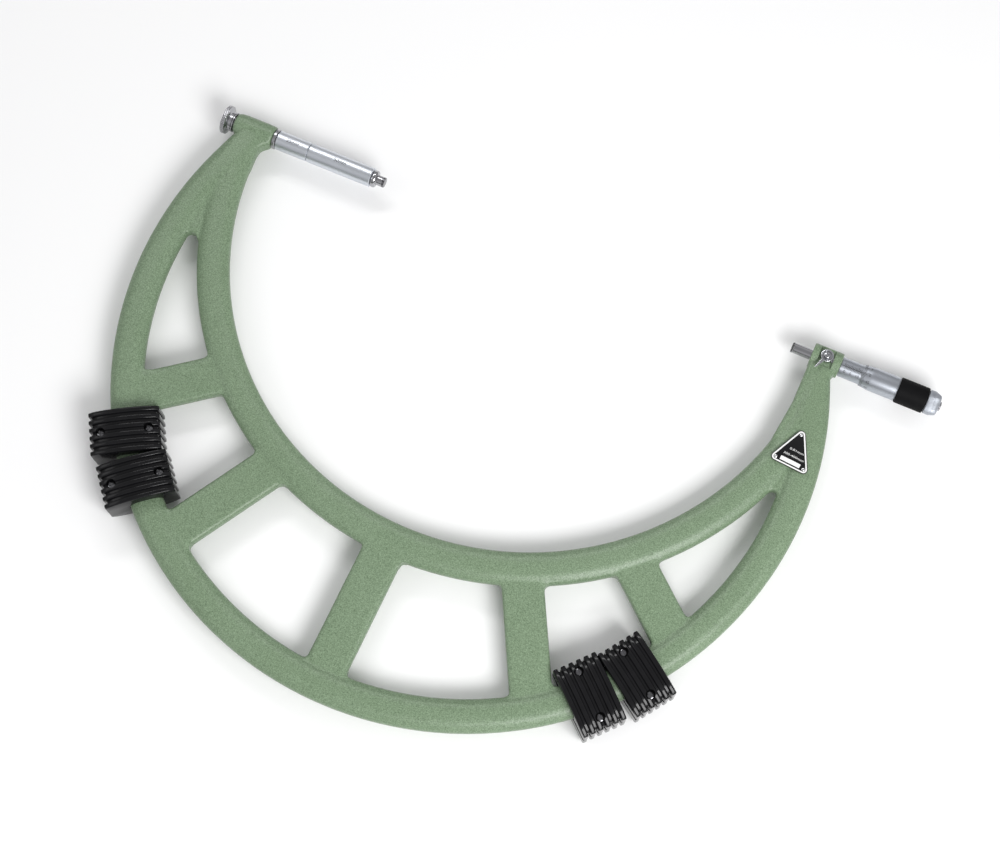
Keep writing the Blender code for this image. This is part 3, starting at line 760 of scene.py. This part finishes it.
def build_anvil():
    rod = [(-126.6, 0), (-126.6, 3.4), (-126.0, 4.0), (-9.7, 4.0), (-9.7, 5.6)]
    rod += [(-9.4, 6.0), (-8.9, 6.25), (-7.4, 6.25), (-6.8, 6.1), (-6.2, 5.5), (-6.1, 4.6),
            (-5.7, 4.2), (-5.7, 3.75), (-1.9, 3.75), (-1.65, 3.55), (-1.65, 0)]
    piece = turned("anvil_rod_body", rod, "anvil", POLISHED)
    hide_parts("anvil_rod")
    piece = turned("anvil_tip_body", [(-1.5, 0), (-1.5, 3.6), (-1.35, 3.75), (-0.3, 3.75),
                                      (0.0, 3.45), (0.0, 0)], "anvil", CARBIDE)
    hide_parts("anvil_tip")

    piece = turned("anvil_bush_body", [(-119, 4.3), (-119, 6.0), (-87.7, 6.0), (-87.7, 7.2),
                                       (-87.4, 7.5), (-85.7, 7.5), (-85.3, 7.1), (-85.3, 4.3)],
                   "frame", GROUND)
    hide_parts("anvil_bush")
    piece = turned("anvil_washer_body", [(-120.3, 4.3), (-120.3, 7.2), (-120.1, 7.4),
                                         (-119.5, 7.4), (-119.3, 7.2), (-119.3, 4.3)],
                   "nut_carrier", GROUND)
    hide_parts("anvil_washer")

    def knurl(x, r, angle):
        return r if r < 10.2 else r - 0.22 * diamond(angle, x + 127, 44, 1.2)

    rim = [(-127.8 + 0.7 + 0.34 * k, 10.5) for k in range(9)]
    nut = [(-127.8, 4.3), (-127.8, 8.6), (-127.55, 9.6), (-127.3, 10.1), *rim,
           (-123.9, 9.6), (-123.6, 8.6), (-123.2, 7.7), (-122.8, 7.2), (-120.9, 7.2),
           (-120.6, 6.9), (-120.6, 4.3)]
    piece = turned("anvil_nut_body", nut, "nut", GROUND, 352, 24, knurl)
    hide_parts("anvil_nut")


# ---------------------------------------------------------------- head
DATUM = radians(-8)    # the datum line's angle from +Z, round the measuring axis


def build_sleeve():
    zero = 352.0
    radius = 7.0
    piece = turned("graduated_sleeve_body", [(349.3, 6.1), (349.3, 6.8), (349.5, radius),
                                             (388.8, radius), (389.0, 6.8), (389.0, 6.1)],
                   "sleeve", SATIN)
    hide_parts("graduated_sleeve")
    marks = [wrap(strip(27.5, 0.30), zero + 11.5, DATUM, radius)]
    for half_mm in range(51):
        x = zero + half_mm / 2
        length = 2.6 if half_mm % 10 == 0 else 1.8
        side = 1 if half_mm % 2 == 0 else -1
        angle = DATUM + side * length / 2 / radius
        marks.append(wrap(strip(length, 0.24, 6), x, angle, radius, pi / 2))
    for number in range(0, 26, 5):
        x = zero + number + (0.2 if number else 0.9)
        marks.append(wrap(text_shape(str(number), 3.0), x, DATUM - 3.9 / radius, radius))
    ink("sleeve_scale", marks, "sleeve")

    piece = turned("inner_sleeve_body", [(341.3, 4.4), (341.3, 5.8), (395, 5.8), (395, 4.4)],
                   "frame", GROUND, 64)
    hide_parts("inner_sleeve")
    piece = turned("adjusting_nut_body", [(389.3, 6.1), (389.3, 6.6), (389.6, 6.9), (394.7, 6.9),
                                          (395, 6.6), (395, 6.1)], "frame", GROUND,
                   64)
    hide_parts("adjusting_nut")


def build_spindle():
    spindle = [(314.65, 0), (314.65, 3.6), (314.8, 3.75), (355, 3.75), (355.4, 4.1)]
    half_pitch = 0.25    # the thread is drawn as rings, 0.5 mm apart
    spindle += [(355.4 + half_pitch * k, 4.1 if k % 2 else 3.85) for k in range(167)]
    spindle += [(397.4, 3.3), (412.5, 3.3), (412.5, 1.8), (401, 1.8), (401, 0)]
    piece = turned("spindle_body", spindle, "spindle", POLISHED, 64)
    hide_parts("spindle")
    piece = turned("spindle_tip_body", [(313, 0), (313, 3.45), (313.3, 3.75), (314.35, 3.75),
                                        (314.5, 3.6), (314.5, 0)], "spindle", CARBIDE)
    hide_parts("spindle_tip")


def build_thimble():
    bevel_x, bevel_radius = 365.2, 7.62
    slope = 0.83 / 6.6
    thimble = [(365, 7.35), (365, 7.45), (bevel_x, bevel_radius), (371.8, 8.45), (372.2, 8.5),
               (390.4, 8.5), (390.6, 8.75), (391.1, 8.75), (391.3, 8.5), (391.3, 7.7),
               (412.5, 7.7), (412.5, 3.7), (408.8, 3.7), (408.8, 7.3), (365.2, 7.3)]
    piece = turned("thimble_body", thimble, "spindle", SATIN, 120)
    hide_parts("thimble")
    marks = []
    divisions, inset, number_in = 50, 0.15, 5.1
    for k in range(divisions):
        angle = DATUM + 2 * pi * k / divisions
        length = 2.9 if k % 5 == 0 else 1.9
        middle = inset + length / 2
        marks.append(wrap(strip(length, 0.28), bevel_x + middle, angle,
                          bevel_radius + slope * middle, 0, slope))
        if k % 5 == 0:
            marks.append(wrap(text_shape(str(k), 2.8), bevel_x + number_in, angle,
                              bevel_radius + slope * number_in + 0.01, 0, slope))
    ink("thimble_scale", marks, "spindle")

    def knurl(x, r, angle):
        return r if r < 9.0 else r - 0.16 * diamond(angle, x - 391, 60, 2.0)

    band = [(391.6, 8.0), (391.6, 8.6), (391.9, 8.95)]
    band += [(392.3 + 0.29 * k, 9.25) for k in range(68)]
    band += [(412.2, 8.95), (412.5, 8.6), (412.5, 8.0)]
    piece = turned("thimble_band_body", band, "spindle", RUBBER, 240, 24, knurl)
    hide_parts("thimble_grip_band")


def build_ratchet():
    cap = [(413, 7.15), (413, 8.35), (413.3, 8.65), (413.8, 8.75), (417.3, 8.7), (417.7, 8.45),
           (419.6, 7.85), (420.9, 7.3), (421.6, 6.8), (421.9, 6.0), (421.9, 1.8), (419.5, 1.8),
           (419.5, 5.5), (418, 5.9)]

    def ridges(x, r, angle):
        if r < 7.0 or x > 421.2 or x < 413.4:
            return r
        return r - 0.16 * (0.5 + 0.5 * cos(angle * 60)) ** 3

    fine = rounded(cap[:10], 0.25, 2)[:-1] + cap[9:]
    piece = turned("ratchet_cap_body", fine, "ratchet", SATIN, 360, 24, ridges)
    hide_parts("ratchet_cap")
    piece = turned("ratchet_screw_body", [(403, 0), (403, 1.5), (422.2, 1.5), (422.2, 3.2),
                                          (422.4, 3.4), (422.9, 3.4), (423.3, 2.9), (423.4, 2.4),
                                          (423.4, 1.3), (422.7, 1.2), (422.7, 0)],
                   "spindle", GROUND, 64)
    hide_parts("ratchet_screw")


# ---------------------------------------------------------------- lock
def upright(profile, at, sides=48, radial=None):
    """A surface turned about Z from (radius, height) points in mm."""
    shape = lathe([(z, r) for r, z in profile], sides, radial)
    bmesh.ops.rotate(shape, verts=shape.verts, cent=(0, 0, 0),
                     matrix=Matrix.Rotation(-pi / 2, 3, "Y"))
    bmesh.ops.translate(shape, vec=(at[0] * MM, at[1] * MM, 0), verts=shape.verts)
    return shape


def cross_recess(at, half_width, reach, floor, turn):
    """Two crossed blocks that cut a cross recess into a screw's head."""
    blocks = [box((-half_width, -reach, floor), (half_width, reach, 13)),
              box((-reach, -half_width, floor), (reach, half_width, 13))]
    for shape in blocks:
        bmesh.ops.rotate(shape, verts=shape.verts, cent=(0, 0, 0),
                         matrix=Matrix.Rotation(radians(turn), 3, "Z"))
        bmesh.ops.translate(shape, vec=(at[0] * MM, at[1] * MM, 0), verts=shape.verts)
    return blocks


def lever_arm(centre, turn):
    """A tapered arm with a round end, which rises a little from the hub outwards."""
    along, across = Vector((cos(turn), sin(turn))), Vector((-sin(turn), cos(turn)))
    loop = [centre + along * 3.6 - across * 1.3, centre + along * 7.0 - across * 1.05,
            centre + along * 10.9 - across * 0.7]
    loop += [centre + along * 11.5 + 0.7 * (across * sin(t) + along * cos(t))
             for t in (-1.2, -0.6, 0.0, 0.6, 1.2)]
    loop += [centre + along * 10.9 + across * 0.7, centre + along * 7.0 + across * 1.05,
             centre + along * 3.6 + across * 1.3]
    arm = plate_mesh(loop, 9.35, 10.95, 0.55, 3)
    for vert in arm.verts:
        reach = (Vector(vert.co.xy) / MM - centre).dot(along)
        vert.co.z += max(0.0, reach - 5.0) * 0.07 * MM
    return arm


def build_lock():
    at = (LOCK_X, 0)

    def scallops(z, r, angle):
        return r - 0.22 * (0.5 + 0.5 * cos(angle * 22)) ** 2 if r > 4.5 else r

    hub = upright([(2.1, 6.1), (4.0, 6.1), (4.3, 6.4), (4.3, 8.6), (4.6, 8.9), (4.6, 10.5),
                   (4.45, 10.9), (4.1, 11.1), (3.65, 11.1), (3.35, 10.8), (3.25, 9.5),
                   (2.1, 9.5)], at, 176, scallops)
    arm = lever_arm(Vector(at), radians(-114.0))
    lever = carve(to_mesh("lever", hub), [arm], operation="UNION")
    piece = add("lock_lever_body", lever, "lock", CAST, 30)
    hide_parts("lock_lever")
    screw = upright([(0, 5.3), (1.8, 5.3), (1.8, 9.3), (2.3, 9.7), (2.3, 10.9), (2.1, 11.25),
                     (1.6, 11.5), (0, 11.6)], at, 48)
    mesh = carve(to_mesh("lock_screw", screw), cross_recess(at, 0.3, 1.6, 10.4, 28))
    piece = add("lock_screw_body", mesh, "lock", CAST, 30)
    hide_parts("lock_screw")


# ---------------------------------------------------------------- grips
SEATS = ((-55.8, -59.9), (-47.4, -50.9), (43.2, 48.1), (51.4, 55.1))    # bearing, lean
SEAT_RADIUS, REACH, LENGTH, RIBS = 240.5, 49.0, 31.0, 6
SCREW_OUT, SCREW_SEAT = 16.6, 9.0    # a grip screw's place across the rim, and its head's height


def grip_section(side_inset, top_inset):
    """Half a grip's section across the rim, in mm: (across, height) points."""
    sides = REACH / 2 - side_inset
    points = [(-sides, 0.15), (-sides, 4.0), (-sides, 9.2)]
    for k in range(17):
        t = -1 + 2 * k / 16
        height = 16.6 - 3.3 * t * t - 1.5 * abs(t) ** 10
        points.append((t * sides, height - top_inset * (1 - 0.15 * t * t)))
    points += [(sides, 9.2), (sides, 4.0), (sides, 0.15)]
    return points


def grip_half():
    """Half a grip: ribs run across the rim, with grooves between them."""
    pitch = LENGTH / (RIBS - 0.42)
    width = pitch * 0.64
    stations = []
    edge = ((0.0, 1.0), (0.12, 0.62), (0.34, 0.28), (0.68, 0.07), (1.1, 0.0))
    for rib in range(RIBS):
        start = rib * pitch - LENGTH / 2
        stations += [(start + along, down, down) for along, down in edge]
        stations += [(start + width - along, down, down) for along, down in edge[::-1]]
        if rib < RIBS - 1:
            stations += [(start + width + 0.10, 1.9, 1.35), (start + width + 0.3, 2.3, 1.7),
                         (start + pitch - 0.3, 2.3, 1.7), (start + pitch - 0.10, 1.9, 1.35)]
    shape = bmesh.new()
    rings = [[shape.verts.new((u * MM, v * MM, z * MM)) for u, z in grip_section(side, top)]
             for v, side, top in stations]
    for low, high in zip(rings, rings[1:]):
        for i in range(len(low)):
            j = (i + 1) % len(low)
            shape.faces.new((low[i], low[j], high[j], high[i]))
    shape.faces.new(rings[0][::-1])
    shape.faces.new(rings[-1])
    bmesh.ops.recalc_face_normals(shape, faces=shape.faces)
    return shape


def rim_channel(seat):
    """The space that a grip leaves for the outer rim."""
    half_turn, gap = 9, 0.3
    loop = arc(OUTER_CENTRE, OUTER_RADIUS + gap, seat - half_turn, seat + half_turn, 24)
    loop += arc(OUTER_CENTRE, OUTER_NEAR - gap, seat + half_turn, seat - half_turn, 24)
    return plate_mesh(loop, -7.75, 7.75, 7.3, 6)


def build_grip_screw(number, spot, at, turn):
    head = upright([(0, SCREW_SEAT), (2.6, SCREW_SEAT), (2.8, 9.2), (2.8, 10.9), (2.5, 11.35),
                    (1.9, 11.6), (0, 11.7)], at, 40)
    mesh = carve(to_mesh("screw", head), cross_recess(at, 0.4, 1.9, 10.5, turn))
    piece = add(f"grip_{number}_screw_{spot}_head", mesh, "frame", SCREW, 30)
    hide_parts(f"grip_{number}_screw_{spot}")


def build_grips():
    for number, (seat, lean) in enumerate(SEATS, 1):
        centre = OUTER_CENTRE + SEAT_RADIUS * direction(seat)
        out = direction(lean)
        turn = Matrix.Rotation(atan2(out.y, out.x), 4, "Z")
        for side, roll in (("front", 0.0), ("back", pi)):
            shape = grip_half()
            bmesh.ops.transform(shape, verts=shape.verts,
                                matrix=Matrix.Translation((*(centre * MM), 0)) @ turn
                                @ Matrix.Rotation(roll, 4, "X"))
            cutters = [rim_channel(seat)]
            low, high = (SCREW_SEAT, 30) if side == "front" else (-30, -SCREW_SEAT)
            for spot, way in (("inner", -1), ("outer", 1)):
                at = centre + out * SCREW_OUT * way
                cutters.append(post(1.7, -20, 20, at, 20))
                cutters.append(post(3.3, low, high, at, 40))
                if side == "front":
                    build_grip_screw(number, spot, at, lean * 3 + way * 20)
            mesh = carve(to_mesh("grip", shape), cutters)
            name = f"grip_{number}_{side}"
            piece = add(name + "_shell", mesh, "frame", PLASTIC, 30)
            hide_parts(name)


# ---------------------------------------------------------------- nameplate
def stretched(words, size, length):
    """A flat text, drawn out to a length in mm."""
    shape = text_shape(words, size)
    wide = max(vert.co.x for vert in shape.verts) - min(vert.co.x for vert in shape.verts)
    bmesh.ops.scale(shape, vec=(length * MM / wide, 1, 1), verts=shape.verts)
    return shape


def build_nameplate():
    corners = (PLATE_TOP, PLATE_LEFT, PLATE_RIGHT)
    print_height = 8.62

    def outline(radius):
        """The plate's three-cornered outline, with round corners of a radius."""
        points = []
        for i, corner in enumerate(corners):
            before, after = corner - corners[i - 1], corners[(i + 1) % 3] - corner
            first, last = (atan2(-way.x, way.y) for way in (before, after))
            while last < first:
                last += 2 * pi
            points += [corner + radius * Vector((cos(t), sin(t)))
                       for t in (first + (last - first) * k / 10 for k in range(11))]
        return points

    def ring(outer, inner):
        """The border line between two outlines."""
        shape = bmesh.new()
        rows = [[shape.verts.new((p.x * MM, p.y * MM, print_height * MM)) for p in outline(r)]
                for r in (outer, inner)]
        for k in range(len(rows[0])):
            j = (k + 1) % len(rows[0])
            shape.faces.new((rows[0][k], rows[0][j], rows[1][j], rows[1][k]))
        return shape

    base = (corners[2] - corners[1]).normalized()
    lift = Vector((-base.y, base.x))
    tilt = Matrix.Rotation(atan2(base.y, base.x), 4, "Z")
    middle = (corners[1] + corners[2]) / 2

    def laid(shape, across, up):
        """Lays a flat shape on the plate, from the middle of its base line."""
        at = middle + base * across + lift * up
        place = Matrix.Translation((at.x * MM, at.y * MM, print_height * MM))
        bmesh.ops.transform(shape, verts=shape.verts, matrix=place @ tilt)
        return shape

    shapes = [ring(2.55, 1.55), laid(strip(14.6, 2.9), 0.1, 0.9),
              laid(stretched("300-400mm", 2.2, 14.8), 0.6, 5.2),
              laid(stretched("0.01mm", 2.2, 10.2), 1.0, 9.6)]
    whole = joined(shapes)
    for face in whole.faces:
        if face.normal.z < 0:
            face.normal_flip()
    add("nameplate_print", to_mesh("nameplate_print", whole), "frame", WHITE,
        None)
    for number, corner in enumerate((PLATE_TOP, PLATE_RIGHT, PLATE_LEFT), 1):
        head = upright([(0, 7.8), (1.05, 7.8), (1.05, 8.62), (1.3, 8.62), (1.2, 8.85),
                        (0.8, 9.1), (0, 9.2)], corner, 32)
        piece = add(f"rivet_{number}", to_mesh("rivet", head), "frame", SILVER, 40)
        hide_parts(f"nameplate_rivet_{number}")


def dress_cad():
    """Better materials for the CAD nodes that stay as they are."""
    skins = {"nameplate": PLATE, "lock_pad": BRASS, "ratchet_clutch": GROUND,
             "ratchet_spring": GROUND}
    for number in range(1, 5):
        for spot in ("inner", "outer"):
            skins[f"grip_{number}_nut_{spot}"] = SCREW
    for name, skin in skins.items():
        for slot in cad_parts[name].material_slots:
            slot.material = skin


set_camera()
set_floor()
set_sky()
set_lights()
set_tone()
build_frame()
build_collars()
build_anvil()
build_sleeve()
build_spindle()
build_thimble()
build_ratchet()
build_lock()
build_grips()
build_nameplate()
dress_cad()
